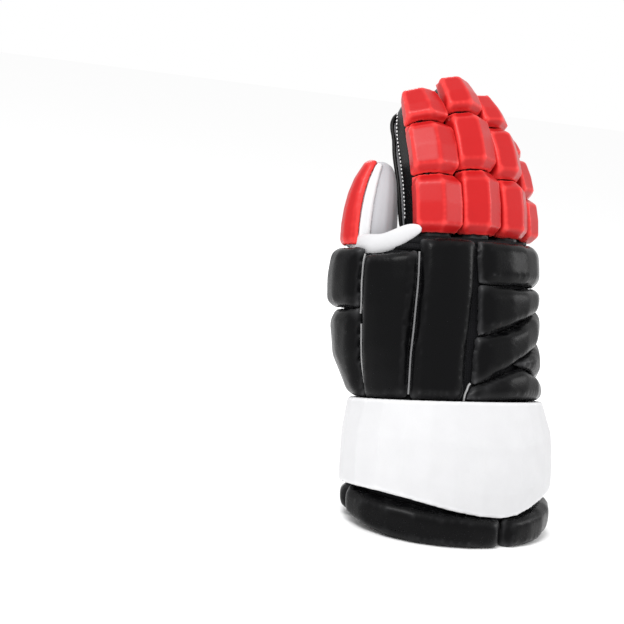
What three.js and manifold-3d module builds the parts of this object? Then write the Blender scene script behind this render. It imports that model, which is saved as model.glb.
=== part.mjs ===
// Right-hand ice hockey glove, standing on its cuff with the fingers up.
// Millimetres, +Z up. The back of the hand faces -Y, the palm +Y, the thumb is at -X.

import * as THREE from 'three';
import Module from 'manifold-3d';
import { mergeVertices } from 'three/addons/utils/BufferGeometryUtils.js';

// Driving sizes
const handWidth = 150;
const handDepth = 96;
const handTop = 229;
const thumbLine = 221;
const cuffWidth = 152;
const cuffDepth = 106;
const bandTop = 108;
const bandBottom = 46;
const bandDipDepth = 22;
const thumbLift = 9;
const pinkieLift = 18;
const bandThickness = 4;
const bandFlare = 5;
const cuffRollThickness = 11;
const heelTop = 122;
const heelThickness = 5;
const linerLift = 12;
const wall = 2;
const leather = 1.6;
const seam = 0.4;
const padThickness = 9;
const fingerPadThickness = 9;
const sideRollThickness = 10;
const bindingThickness = 2.6;
const standLean = 12;

const thumbWidth = 40;
const thumbDepth = 37;
const thumbLength = 66;
const thumbShellThickness = 4;

// Finger sizes without the pads. The place of the root is from the middle of the hand, facing is
// the angle of the finger's back from -Y towards the little finger, and lean is the sideways shift
// of its tip.
const fingers = {
  index: { rootX: -35, rootY: -10.6, width: 30, depth: 42, length: 110,
    facing: -14, curl: 33, lean: 0, padReach: 68 },
  middle: { rootX: -4, rootY: -14, width: 29, depth: 43, length: 123,
    facing: 3, curl: 33, lean: 0, padReach: 68 },
  ring: { rootX: 27.5, rootY: -9, width: 28, depth: 41, length: 111,
    facing: 20, curl: 33, lean: -2, padReach: 64 },
  pinkie: { rootX: 54.5, rootY: 6, width: 24, depth: 36, length: 84,
    facing: 38, curl: 31, lean: -3, padReach: 52 },
};
const fingerRootAngle = 0;
const curlTurn = 0.3;
const digitGap = 0.35;

// Rows of red pads up each finger, as shares of the finger's length
const fingerPadRows = [
  { row: 'base', from: 0.03, to: 0.385, taper: 0 },
  { row: 'middle', from: 0.4, to: 0.735, taper: 0 },
  { row: 'tip', from: 0.75, to: 0.975, taper: 0.35 },
];

// Half width of a finger or the thumb up its length, as a share of the full one
const tipTaper = [
  { along: 0, size: 1 },
  { along: 0.3, size: 1 },
  { along: 0.55, size: 0.99 },
  { along: 0.74, size: 0.95 },
  { along: 0.86, size: 0.86 },
  { along: 0.94, size: 0.7 },
  { along: 0.985, size: 0.46 },
  { along: 1, size: 0.16 },
];
const thumbTaper = [
  { along: 0, size: 1.02 },
  { along: 0.25, size: 1 },
  { along: 0.5, size: 0.93 },
  { along: 0.7, size: 0.8 },
  { along: 0.86, size: 0.62 },
  { along: 0.95, size: 0.42 },
  { along: 1, size: 0.14 },
];

// Outline of the hand seen from above, going from the middle of the back to the little finger,
// the palm, the ball of the thumb and home, as shares of the hand's width and depth
const handOutline = [
  { across: 0, deep: -0.44 },
  { across: 0.157, deep: -0.415 },
  { across: 0.3, deep: -0.325 },
  { across: 0.4, deep: -0.17 },
  { across: 0.438, deep: 0.005 },
  { across: 0.412, deep: 0.125 },
  { across: 0.327, deep: 0.155 },
  { across: 0.196, deep: 0.145 },
  { across: 0.05, deep: 0.14 },
  { across: -0.095, deep: 0.21 },
  { across: -0.235, deep: 0.39 },
  { across: -0.366, deep: 0.525 },
  { across: -0.49, deep: 0.46 },
  { across: -0.55, deep: 0.25 },
  { across: -0.523, deep: -0.042 },
  { across: -0.405, deep: -0.27 },
  { across: -0.222, deep: -0.4 },
];

// How the outline changes up the glove: cuff is the share of the cuff's oval in it
const handSections = [
  { height: 0, cuff: 1, wide: 0.98, deep: 0.98 },
  { height: 0.18, cuff: 1, wide: 1.03, deep: 1.02 },
  { height: 0.33, cuff: 1, wide: 1, deep: 0.98 },
  { height: 0.47, cuff: 0.8, wide: 0.94, deep: 0.92 },
  { height: 0.64, cuff: 0.25, wide: 0.985, deep: 0.96 },
  { height: 0.82, cuff: 0, wide: 1, deep: 1 },
  { height: 1, cuff: 0, wide: 0.99, deep: 0.87 },
];

const rad = THREE.MathUtils.degToRad;
const up = new THREE.Vector3(0, 0, 1);

const leatherGrey = { color: 0xd2d1d6, roughness: 0.75, metalness: 0 };
const white = { color: 0xf7f7f7, roughness: 0.6, metalness: 0 };
const black = { color: 0x161616, roughness: 0.45, metalness: 0 };
const red = { color: 0xe8383a, roughness: 0.3, metalness: 0 };

const glove = new THREE.Group();

// Value of one column of a table at a place between its rows
function readTable(rows, key, at, column) {
  let k = 0;
  while (k < rows.length - 2 && rows[k + 1][key] < at) {
    k += 1;
  }
  const span = rows[k + 1][key] - rows[k][key];
  const share = THREE.MathUtils.clamp((at - rows[k][key]) / span, 0, 1);
  const smooth = column === 'size' ? share : share * share * (3 - 2 * share);
  return THREE.MathUtils.lerp(rows[k][column], rows[k + 1][column], smooth);
}

// Closed curve through the hand's outline, as points that a number of rows along reads
const outlineCurve = new THREE.CatmullRomCurve3(
  handOutline.map((row) => new THREE.Vector3(row.across * handWidth, row.deep * handDepth, 0)),
  true,
  'centripetal',
);

function outlinePoint(place, height) {
  const turns = place / handOutline.length;
  const hand = outlineCurve.getPoint(turns - Math.floor(turns));
  const angle = Math.atan2(hand.y / handDepth, hand.x / handWidth);
  const share = height / handTop;
  const cuff = readTable(handSections, 'height', share, 'cuff');
  const wide = readTable(handSections, 'height', share, 'wide');
  const deep = readTable(handSections, 'height', share, 'deep');
  const x = THREE.MathUtils.lerp(hand.x, (Math.cos(angle) * cuffWidth) / 2, cuff);
  const y = THREE.MathUtils.lerp(hand.y, (Math.sin(angle) * cuffDepth) / 2, cuff);
  return new THREE.Vector3(x * wide, y * deep, height);
}

// A surface gives the point at (u, v), pushed outwards by a distance
function handSurface(place, height, out) {
  const here = outlinePoint(place, height);
  const step = 0.15;
  const along = outlinePoint(place + step, height).sub(outlinePoint(place - step, height));
  const rise = outlinePoint(place, height + 2).sub(outlinePoint(place, height - 2));
  const normal = along.cross(rise).normalize();
  return here.addScaledVector(normal, out);
}

// Cuff surface, which flares out towards its middle height
function cuffSurface(place, height, out) {
  const share = (height - bandBottom) / (bandTop - bandBottom);
  const flare = bandFlare * Math.sin(Math.PI * THREE.MathUtils.clamp(0.78 - 0.62 * share, 0, 1));
  return handSurface(place, height, out + flare);
}

// A curled digit: its middle line starts at the root and bends towards the palm
function digitSurface(digit, taper) {
  const face = rad(digit.facing);
  const turn = rad(digit.facing * (digit.curlTurn ?? curlTurn));
  const palmward = new THREE.Vector3(-Math.sin(turn), Math.cos(turn), 0);
  const sideways = new THREE.Vector3(Math.cos(face), Math.sin(face), 0);
  const steps = 24;
  const line = [new THREE.Vector3(digit.rootX, digit.rootY, digit.rootZ ?? handTop + digitGap)];
  for (let k = 0; k < steps; k += 1) {
    const bend = rad(fingerRootAngle + (digit.curl * (k + 0.5)) / steps);
    const move = up.clone().multiplyScalar(Math.cos(bend)).addScaledVector(palmward, Math.sin(bend));
    move.multiplyScalar(digit.length / steps);
    move.x += (digit.lean / steps) * ((k + 0.5) / steps) * 2;
    line.push(line[k].clone().add(move));
  }
  return (angle, along, out) => {
    const place = THREE.MathUtils.clamp(along, 0, 1) * steps;
    const k = Math.min(Math.floor(place), steps - 1);
    const middle = line[k].clone().lerp(line[k + 1], place - k);
    const axis = line[k + 1].clone().sub(line[k]).normalize();
    const wide = sideways.clone().addScaledVector(axis, -sideways.dot(axis)).normalize();
    const back = wide.clone().cross(axis).normalize();
    const size = readTable(taper, 'along', THREE.MathUtils.clamp(along, 0, 1), 'size');
    const a = rad(angle);
    const square = 0.72;
    const across = Math.sign(Math.sin(a)) * Math.abs(Math.sin(a)) ** square;
    const deep = Math.sign(Math.cos(a)) * Math.abs(Math.cos(a)) ** square;
    middle.addScaledVector(wide, Math.max(0.4, (digit.width / 2) * size + out) * across);
    middle.addScaledVector(back, Math.max(0.4, (digit.depth / 2) * size + out) * deep);
    middle.addScaledVector(axis, out * Math.max(0, along - 0.86) * 6);
    return middle;
  };
}

// Closed body between an outer and an inner grid of points. Wrapped grids close round on themselves.
function slab(columns, rows, outer, inner, wrapped = false) {
  const positions = [];
  const count = (columns + 1) * (rows + 1);
  for (const pointAt of [outer, inner]) {
    for (let j = 0; j <= rows; j += 1) {
      for (let i = 0; i <= columns; i += 1) {
        const p = pointAt(wrapped ? i % columns : i, j);
        positions.push(p.x, p.y, p.z);
      }
    }
  }
  const index = [];
  const at = (layer, i, j) => layer * count + j * (columns + 1) + i;
  const quad = (a, b, c, d) => index.push(a, b, c, a, c, d);
  for (let j = 0; j < rows; j += 1) {
    for (let i = 0; i < columns; i += 1) {
      quad(at(0, i, j), at(0, i + 1, j), at(0, i + 1, j + 1), at(0, i, j + 1));
      quad(at(1, i, j), at(1, i, j + 1), at(1, i + 1, j + 1), at(1, i + 1, j));
    }
  }
  for (let i = 0; i < columns; i += 1) {
    quad(at(0, i, 0), at(1, i, 0), at(1, i + 1, 0), at(0, i + 1, 0));
    quad(at(0, i + 1, rows), at(1, i + 1, rows), at(1, i, rows), at(0, i, rows));
  }
  if (!wrapped) {
    for (let j = 0; j < rows; j += 1) {
      quad(at(0, 0, j + 1), at(1, 0, j + 1), at(1, 0, j), at(0, 0, j));
      quad(at(0, columns, j), at(1, columns, j), at(1, columns, j + 1), at(0, columns, j + 1));
    }
  }
  const geometry = new THREE.BufferGeometry();
  geometry.setAttribute('position', new THREE.Float32BufferAttribute(positions, 3));
  geometry.setIndex(index);
  return orient(dropFlat(mergeVertices(geometry, 1e-3)));
}

// Triangles that lost a side when their corners were merged
function dropFlat(geometry) {
  const old = geometry.getIndex().array;
  const kept = [];
  for (let k = 0; k < old.length; k += 3) {
    const [a, b, c] = [old[k], old[k + 1], old[k + 2]];
    if (a !== b && b !== c && c !== a) {
      kept.push(a, b, c);
    }
  }
  geometry.setIndex(kept);
  return geometry;
}

// Turns the faces outwards
function orient(geometry) {
  const p = geometry.getAttribute('position');
  const index = geometry.getIndex().array;
  const [a, b, c] = [new THREE.Vector3(), new THREE.Vector3(), new THREE.Vector3()];
  let volume = 0;
  for (let k = 0; k < index.length; k += 3) {
    a.fromBufferAttribute(p, index[k]);
    b.fromBufferAttribute(p, index[k + 1]);
    c.fromBufferAttribute(p, index[k + 2]);
    volume += a.dot(b.cross(c));
  }
  if (volume < 0) {
    const turned = [];
    for (let k = 0; k < index.length; k += 3) {
      turned.push(index[k], index[k + 2], index[k + 1]);
    }
    geometry.setIndex(turned);
  }
  geometry.computeVertexNormals();
  return geometry;
}

const wasm = await Module();
wasm.setup();

function toSolid(geometry) {
  const plain = geometry.clone();
  plain.deleteAttribute('normal');
  plain.deleteAttribute('uv');
  const merged = mergeVertices(plain, 1e-4);
  return new wasm.Manifold(new wasm.Mesh({
    numProp: 3,
    vertProperties: Float32Array.from(merged.getAttribute('position').array),
    triVerts: Uint32Array.from(merged.getIndex().array),
  }));
}

// What is left of a body once others are cut out of it
function cutBy(geometry, cutters) {
  let body = toSolid(geometry);
  for (const cutter of cutters) {
    body = body.subtract(toSolid(cutter));
  }
  const mesh = body.getMesh();
  const cut = new THREE.BufferGeometry();
  cut.setAttribute('position', new THREE.Float32BufferAttribute(mesh.vertProperties, 3));
  cut.setIndex(Array.from(mesh.triVerts));
  cut.computeVertexNormals();
  return cut;
}

function add(name, geometry, look) {
  const mesh = new THREE.Mesh(geometry, new THREE.MeshStandardMaterial(look));
  mesh.name = name;
  glove.add(mesh);
  return mesh;
}

// Places across a pad, close together at its bevelled edges
function bevelStations(count, bevel) {
  const stations = [0, bevel];
  for (let k = 1; k < count; k += 1) {
    stations.push(THREE.MathUtils.lerp(bevel, 1 - bevel, k / count));
  }
  stations.push(1 - bevel, 1);
  return stations;
}

// Padded pieces start a little inside what they lie on, which is then cut out of them
const padSink = 1.5;

// Padded piece on a surface. Its four corners are (u, v) pairs, in order low start, low end,
// high end and high start; the rim is low and the middle full. With a floor, the low edge follows
// the floor at the height that floor gives across the pad.
function pad(surface, corners, options) {
  const { thick, rim = 0.4, lift = 0, across = 2, along = 2, bevelU = 0.16, bevelV = 0.12 } = options;
  const { cutters = [], peak = { at: 0.5, rise: 0 }, floor = null, sink = padSink } = options;
  const us = bevelStations(across, bevelU);
  const vs = bevelStations(along, bevelV);
  const place = (i, j) => {
    const [s, t] = [us[i], vs[j]];
    const [c0, c1, c2, c3] = corners;
    const mix = (k) => (1 - t) * ((1 - s) * c0[k] + s * c1[k]) + t * ((1 - s) * c3[k] + s * c2[k]);
    const tent = s < peak.at ? s / peak.at : (1 - s) / (1 - peak.at);
    const straight = (1 - s) * c0[1] + s * c1[1];
    const sag = floor ? (1 - t) * (floorAt(mix(0)) + floor(s) - padSink * 2 - straight) : 0;
    return [mix(0), mix(1) + t * tent * peak.rise + sag];
  };
  const height = (i, j) => {
    const edge = i === 0 || i === us.length - 1 || j === 0 || j === vs.length - 1;
    const crown = 1 - 0.18 * (Math.abs(2 * us[i] - 1) ** 2) - 0.08 * (Math.abs(2 * vs[j] - 1) ** 2);
    return lift + seam + thick * (edge ? rim : crown);
  };
  const outer = (i, j) => surface(...place(i, j), height(i, j));
  const inner = (i, j) => surface(...place(i, j), lift - sink);
  return cutBy(slab(us.length - 1, vs.length - 1, outer, inner), cutters);
}

// Even sheet on a surface between two places across and two up, which may be functions
function sheet(surface, range, options) {
  const { from, to, low, high } = range;
  const { thick, lift = 0, columns = 8, rows = 6 } = options;
  const valueAt = (value, share) => (typeof value === 'function' ? value(share) : value);
  const point = (i, j, out) => {
    const s = i / columns;
    const v = THREE.MathUtils.lerp(valueAt(low, s), valueAt(high, s), j / rows);
    const u = THREE.MathUtils.lerp(valueAt(from, j / rows), valueAt(to, j / rows), s);
    return surface(u, v, out);
  };
  return slab(columns, rows, (i, j) => point(i, j, lift + thick), (i, j) => point(i, j, lift));
}

// Drop of the wrist's middle line when the glove leans on the back edge of its cuff
const standDrop = (cuffDepth / 2 + cuffRollThickness) * Math.sin(rad(standLean));

// Height of the floor under the leaning glove, below a place of its outline
function floorAt(place) {
  const y = outlinePoint(place, 0).y;
  return (y + cuffDepth / 2 + cuffRollThickness) * Math.tan(rad(standLean));
}

// Everything below the floor, which the cuff stands on flat
const floorBlock = new THREE.BoxGeometry(600, 600, 200);
floorBlock.translate(0, 0, standDrop - 100);
floorBlock.rotateX(rad(standLean));

// Black liner of hand and cuff, open to the palm and at both ends. It is lower at the thumb.
const palmStart = 6.15;
const palmEnd = 9.65;
const wrap = handOutline.length;
const linerRange = {
  from: palmEnd,
  to: palmStart + wrap,
  low: (s) => floorAt(THREE.MathUtils.lerp(palmEnd, palmStart + wrap, s)) + linerLift,
  high: (s) => THREE.MathUtils.lerp(thumbLine, handTop, THREE.MathUtils.smoothstep(s, 0.3, 0.42)) - seam,
};
const linerGrid = { columns: 26, rows: 7 };

// The space that the liner takes, with the seam round it, for cutting what lies on it
const linerSpace = sheet(handSurface, {
  ...linerRange,
  from: palmEnd - 0.02,
  to: palmStart + wrap + 0.02,
  low: (s) => linerRange.low(s) - seam,
}, { ...linerGrid, thick: 5 + 1.6 * seam, lift: -5 });

function buildHandShell() {
  add('hand_shell', sheet(handSurface, linerRange, { ...linerGrid, thick: wall, lift: -wall }), black);
}

function handPad(name, corners, options, look = black) {
  add(name, pad(handSurface, corners, { cutters: [linerSpace], ...options }), look);
}

// Finger gussets: a shell that is open to the palm up to the end of the palm leather, and closed
// round the fingertip
const leatherEnd = 0.8;
const leatherHalfAngle = 52;
const sleeveRows = [0, 0.18, 0.38, 0.58, 0.74, 0.8, 0.87, 0.94, 0.985, 1];
const sleeveColumns = 10;

function sleeveGrid(surface, digit, offset, opened) {
  return (i, j) => {
    const share = sleeveRows[j];
    const closed = THREE.MathUtils.smoothstep(share, leatherEnd, leatherEnd + 0.07);
    const reach = opened ? THREE.MathUtils.lerp(180 - leatherHalfAngle, 178.5, closed) : 178.5;
    const angle = THREE.MathUtils.lerp(-reach, reach, i / sleeveColumns);
    const along = offset < 0 ? share * (1 + (2 * offset) / digit.length) : share;
    if (j === sleeveRows.length - 1) {
      return surface(0, along, offset).lerp(surface(180, along, offset), 0.5);
    }
    return surface(angle, along, offset);
  };
}

function buildFinger(name, digit) {
  const surface = digitSurface(digit, tipTaper);
  const last = sleeveRows.length - 1;
  add(`${name}_sleeve`, slab(sleeveColumns, last,
    sleeveGrid(surface, digit, 0, true), sleeveGrid(surface, digit, -wall, true)), black);

  const stripRows = 6;
  const strip = (out) => (i, j) => {
    const along = (leatherEnd * 0.98 * j) / stripRows;
    const late = Math.max(0, (j / stripRows - 0.8) / 0.22);
    const half = (leatherHalfAngle - 2.5) * Math.sqrt(1 - late ** 2);
    return surface(180 + THREE.MathUtils.lerp(-half, half, i / 4), along, out);
  };
  add(`${name}_palm_strip`, slab(4, stripRows, strip(0), strip(-leather)), leatherGrey);

  const padHalf = digit.padReach;
  const space = slab(sleeveColumns, last,
    sleeveGrid(surface, digit, seam, true), sleeveGrid(surface, digit, -9, true));
  for (const { row, from, to, taper } of fingerPadRows) {
    const narrow = padHalf * (1 - taper * 0.25);
    add(`${name}_pad_${row}`, pad(surface,
      [[-padHalf, from], [padHalf, from], [narrow, to], [-narrow, to]],
      { thick: fingerPadThickness, rim: 0.3, bevelU: 0.17, bevelV: 0.15, cutters: [space] }), red);
  }
}

// Thumb: a white and grey sleeve, hollow, with the red shell round its outer side
const thumb = {
  rootX: -0.41 * handWidth,
  rootY: 0.245 * handDepth,
  rootZ: thumbLine + digitGap,
  width: thumbWidth,
  depth: thumbDepth,
  length: thumbLength,
  facing: -138,
  curlTurn: 1,
  curl: 8,
  lean: 4,
};
const thumbRows = [0, 0.16, 0.34, 0.52, 0.68, 0.8, 0.9, 0.96];
const thumbColumns = 14;

function thumbGrid(surface, offset) {
  const middle = surface(0, 1, 0).add(surface(180, 1, 0)).multiplyScalar(0.5);
  const tip = middle.addScaledVector(up, offset);
  return (i, j) => {
    if (j === thumbRows.length) {
      return tip.clone();
    }
    const along = offset < 0 ? thumbRows[j] * (1 + offset / thumbLength) : thumbRows[j];
    return surface((360 * i) / thumbColumns, along, offset);
  };
}

function buildThumb() {
  const surface = digitSurface(thumb, thumbTaper);
  add('thumb_sleeve', slab(thumbColumns, thumbRows.length,
    thumbGrid(surface, 0), thumbGrid(surface, -wall), true), leatherGrey);
  const space = slab(thumbColumns, thumbRows.length,
    thumbGrid(surface, seam), thumbGrid(surface, -8), true);

  const shellHalf = 78;
  add('thumb_shell', pad(surface,
    [[-shellHalf, 0.02], [shellHalf, 0.02], [shellHalf * 0.95, 0.95], [-shellHalf * 0.95, 0.95]],
    { thick: thumbShellThickness, rim: 0.5, across: 6, along: 5, bevelU: 0.06, bevelV: 0.05,
      cutters: [space] }), red);

  for (const [name, side] of [['thumb_binding_front', 1], ['thumb_binding_back', -1]]) {
    const near = side * (shellHalf + 3);
    const far = side * (shellHalf + 15);
    add(name, pad(surface,
      [[near, 0.02], [far, 0.02], [far, 0.93], [near, 0.93]],
      { thick: bindingThickness, across: 1, along: 5, bevelU: 0.2, bevelV: 0.04,
        cutters: [space] }), white);
  }
}

// Pads on the back of the hand. Corners are places round the outline with heights, in order low
// start, low end, high end and high start.
const backStart = bandTop + 1.5;
const backEnd = 20.9;
const backPads = [
  {
    name: 'back_panel_main',
    corners: [[15.02, backStart], [16.26, backStart], [16.6, handTop - 1], [15.26, handTop - 1]],
    shape: { across: 3, along: 6, bevelU: 0.14, bevelV: 0.04 },
  },
  {
    name: 'back_panel_thumb',
    corners: [[13.72, backStart], [14.95, backStart], [15.18, 218], [13.76, 214]],
    shape: { across: 3, along: 6, bevelU: 0.14, bevelV: 0.04 },
  },
  {
    name: 'knuckle_pad',
    corners: [[16.67, 196], [backEnd, 196], [backEnd, handTop - 1], [16.67, handTop - 1]],
    shape: { across: 5, along: 2, bevelU: 0.07, bevelV: 0.2 },
  },
  {
    name: 'back_pad',
    corners: [[16.63, 157], [backEnd, 187.5], [backEnd, 194.5], [16.66, 194.5]],
    shape: { across: 5, along: 2, bevelU: 0.07, bevelV: 0.2 },
  },
  {
    name: 'diagonal_roll',
    corners: [[16.5, 121], [backEnd, 167], [backEnd, 186], [16.6, 155.5]],
    shape: { across: 5, along: 2, bevelU: 0.07, bevelV: 0.22 },
  },
  {
    name: 'side_wedge',
    corners: [[18.05, 136.4], [backEnd, 119], [backEnd, 165], [18.05, 137]],
    shape: { across: 4, along: 2, bevelU: 0.1, bevelV: 0.22 },
  },
  {
    name: 'lower_roll',
    corners: [[16.35, backStart], [backEnd, backStart], [backEnd, 117.5], [16.5, 118.5]],
    shape: { across: 5, along: 2, bevelU: 0.07, bevelV: 0.22, peak: { at: 0.36, rise: 17 } },
  },
];

function buildBackPads() {
  for (const { name, corners, shape } of backPads) {
    handPad(name, corners, { thick: padThickness, ...shape });
  }
}

// Rolls round the ball of the thumb
function buildThumbRolls() {
  const roll = { thick: sideRollThickness, across: 6, along: 2, bevelU: 0.07, bevelV: 0.12 };
  const split = 175.5;
  const top = thumbLine - 1;
  handPad('thumb_roll_upper', [[10.05, split + 1], [13.66, split + 1], [13.7, top], [10.05, top]], roll);
  handPad('thumb_roll_lower',
    [[10.05, backStart], [13.64, backStart], [13.66, split - 1], [10.05, split - 1]], roll);
}

// Three rolls down the outer edge of the little finger and hand
function buildSideRolls() {
  const roll = { thick: sideRollThickness, rim: 0.3 };
  handPad('pinkie_side_roll_3', [[4.0, heelTop], [5.1, heelTop], [5.3, 203], [4.0, 203]],
    { ...roll, across: 2, along: 3, bevelU: 0.2, bevelV: 0.12 });
  const digit = fingers.pinkie;
  const surface = digitSurface(digit, tipTaper);
  const space = slab(sleeveColumns, sleeveRows.length - 1,
    sleeveGrid(surface, digit, seam, true), sleeveGrid(surface, digit, -9, true));
  const low = { ...roll, bevelU: 0.2, bevelV: 0.16, cutters: [space] };
  add('pinkie_side_roll_2', pad(surface, [[66, 0.01], [108, 0.01], [108, 0.36], [66, 0.36]], low), black);
  add('pinkie_side_roll_1', pad(surface, [[66, 0.38], [108, 0.38], [104, 0.74], [66, 0.74]], low), black);
}

// Palm leather and its white bindings
function buildPalm() {
  const seamHeight = (s) => THREE.MathUtils.lerp(171, 212, s);
  const edge = 0.07;
  const across = { from: palmStart + edge, to: palmEnd - edge };
  const sheetShape = { thick: leather, lift: -leather, columns: 10 };
  add('palm_upper', sheet(handSurface,
    { ...across, low: (s) => seamHeight(s) + seam, high: handTop - seam },
    { ...sheetShape, rows: 3 }), leatherGrey);
  const heelSeam = heelTop + 4;
  add('palm_lower', sheet(handSurface,
    { ...across, low: heelSeam, high: seamHeight }, { ...sheetShape, rows: 5 }), leatherGrey);
  const strip = { thick: bindingThickness, across: 1, along: 6, bevelU: 0.2, bevelV: 0.04 };
  handPad('side_binding',
    [[9.66, heelTop + 1], [9.99, heelTop + 1], [9.99, thumbLine], [9.66, thumbLine]], strip, white);
  handPad('pinkie_binding',
    [[5.7, heelTop + 1], [6.14, heelTop + 1], [6.12, 198], [5.7, 198]],
    { ...strip, sink: -seam }, white);
}

// Cuff: the white band, the black rolls under it and the heel on the palm side
function buildCuff() {
  const heelStart = 5.35;
  const heelStop = 9.1;
  const dipAt = 0.63;
  const dipWidth = { before: 0.16, after: 0.13 };
  const bandDip = (s) => {
    const width = s < dipAt ? dipWidth.before : dipWidth.after;
    return bandDipDepth * Math.exp(-(((s - dipAt) / width) ** 2));
  };
  add('cuff_band', sheet(cuffSurface,
    { from: heelStop + 0.05, to: heelStart + wrap - 0.4, low: (s) => bandBottom - bandDip(s), high: bandTop },
    { thick: bandThickness, lift: padThickness * 0.4, columns: 24, rows: 5 }), white);
  const roll = { thick: cuffRollThickness, rim: 0.35, along: 3, bevelU: 0.06, bevelV: 0.2,
    cutters: [linerSpace, floorBlock] };
  const rollTop = bandBottom - 2;
  const dipTop = rollTop - bandDipDepth;
  const low = (place) => [place, floorAt(place) - 3];
  const onFloor = () => 0;
  handPad('cuff_lobe_thumb', [low(10.4), low(13.2), [13.2, rollTop], [10.4, rollTop]],
    { ...roll, across: 4, floor: () => thumbLift });
  handPad('cuff_roll_main', [low(13.3), low(17.2), [17.2, dipTop], [13.3, rollTop]],
    { ...roll, across: 6, floor: (s) => thumbLift * (1 - THREE.MathUtils.smoothstep(s, 0, 0.5)) });
  handPad('cuff_roll_pinkie', [low(17.3), low(21.6), [21.6, rollTop], [17.3, dipTop]],
    { ...roll, across: 6, floor: (s) => pinkieLift * THREE.MathUtils.smoothstep(s, 0.25, 1) });
  handPad('heel_cuff',
    [low(heelStart), low(heelStop), [heelStop, heelTop - 2], [heelStart, heelTop - 2]],
    { thick: heelThickness, across: 5, along: 4, bevelU: 0.05, bevelV: 0.05, floor: onFloor,
      sink: -seam, cutters: [linerSpace, floorBlock] });
}

buildHandShell();
for (const [name, digit] of Object.entries(fingers)) {
  buildFinger(name, digit);
}
buildThumb();
buildBackPads();
buildThumbRolls();
buildSideRolls();
buildPalm();
buildCuff();

// The glove leans on the heel of its cuff, with the origin under its middle
const stand = new THREE.Group();
glove.rotation.x = -rad(standLean);
glove.position.z = -standDrop;
const middle = new THREE.Box3().setFromObject(glove, true).getCenter(new THREE.Vector3());
glove.position.x = -middle.x;
glove.position.y = -middle.y;
stand.add(glove);

export default stand;
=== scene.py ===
"""Looks of a right-hand ice hockey glove that stands on its cuff with the fingers up."""

import logging
import math
from dataclasses import dataclass, field
from enum import Enum

import bmesh
import bpy
from mathutils import Matrix, Vector
from mathutils.bvhtree import BVHTree


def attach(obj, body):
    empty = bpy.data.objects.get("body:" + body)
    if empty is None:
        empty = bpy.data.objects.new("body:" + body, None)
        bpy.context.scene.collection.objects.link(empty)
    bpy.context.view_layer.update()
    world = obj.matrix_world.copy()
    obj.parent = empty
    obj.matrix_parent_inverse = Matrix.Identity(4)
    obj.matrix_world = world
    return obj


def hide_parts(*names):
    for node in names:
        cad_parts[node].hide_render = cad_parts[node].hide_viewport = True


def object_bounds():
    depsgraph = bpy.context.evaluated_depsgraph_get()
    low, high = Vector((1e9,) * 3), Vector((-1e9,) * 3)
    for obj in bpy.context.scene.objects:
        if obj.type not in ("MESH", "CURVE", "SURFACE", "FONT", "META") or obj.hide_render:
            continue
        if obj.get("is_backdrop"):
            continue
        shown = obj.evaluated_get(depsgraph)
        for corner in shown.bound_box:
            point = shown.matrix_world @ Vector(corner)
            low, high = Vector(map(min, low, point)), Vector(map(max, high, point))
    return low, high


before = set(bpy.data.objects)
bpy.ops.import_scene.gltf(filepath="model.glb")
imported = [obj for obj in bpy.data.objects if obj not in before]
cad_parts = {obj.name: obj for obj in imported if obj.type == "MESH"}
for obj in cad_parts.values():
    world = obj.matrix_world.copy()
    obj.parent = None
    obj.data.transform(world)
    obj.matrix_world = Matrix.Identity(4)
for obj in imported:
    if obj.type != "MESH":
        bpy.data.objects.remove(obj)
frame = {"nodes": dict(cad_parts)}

logging.basicConfig(level=logging.INFO, format="%(message)s")
log = logging.getLogger("glove")

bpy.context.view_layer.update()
Piece = bpy.types.Object
Table = tuple[tuple[float, float], ...]
FINGERS = ("index", "middle", "ring", "pinkie")
PALMWARD = Vector((0.0, 1.0, 0.0)).freeze()
UPWARD = Vector((0.0, 0.0, 1.0)).freeze()
CLOTH = {
    "quality": 5,
    "mass": 0.02,
    "tension_stiffness": 8.0,
    "compression_stiffness": 8.0,
    "shear_stiffness": 3.0,
}
SWELL_FRAMES = 12
FILM_WIDTH = 36.0  # millimetres, as the lens is
FAR = 0.4  # metres, outside every surface


class Wire:
    """One socket of a material, for writing shader maths as Python expressions."""

    def __init__(self, graph: "Graph", socket: bpy.types.NodeSocket) -> None:
        """Keep the socket and the graph that it is in."""
        self.graph = graph
        self.socket = socket

    def maths(self, operation: str, *values: "Wire | float") -> "Wire":
        """Add a Math node.

        Args:
            operation: The node's operation.
            values: Its inputs in order.

        Returns:
            The result's socket.
        """
        return self.graph.add("ShaderNodeMath", {"operation": operation}, *values)

    def __add__(self, other: "Wire | float") -> "Wire":
        """Return the sum."""
        return self.maths("ADD", self, other)

    def __radd__(self, other: float) -> "Wire":
        """Return the sum."""
        return self.maths("ADD", other, self)

    def __sub__(self, other: "Wire | float") -> "Wire":
        """Return the difference."""
        return self.maths("SUBTRACT", self, other)

    def __rsub__(self, other: float) -> "Wire":
        """Return the reflected difference."""
        return self.maths("SUBTRACT", other, self)

    def __mul__(self, other: "Wire | float") -> "Wire":
        """Return the product."""
        return self.maths("MULTIPLY", self, other)

    def __rmul__(self, other: float) -> "Wire":
        """Return the product."""
        return self.maths("MULTIPLY", other, self)

    def over(self, low: float, high: float) -> "Wire":
        """Return a smooth mask that rises from 0 at low to 1 at high."""
        return self.graph.add(
            "ShaderNodeMapRange", {"interpolation_type": "SMOOTHSTEP"}, self, low, high, 0.0, 1.0
        )


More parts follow.
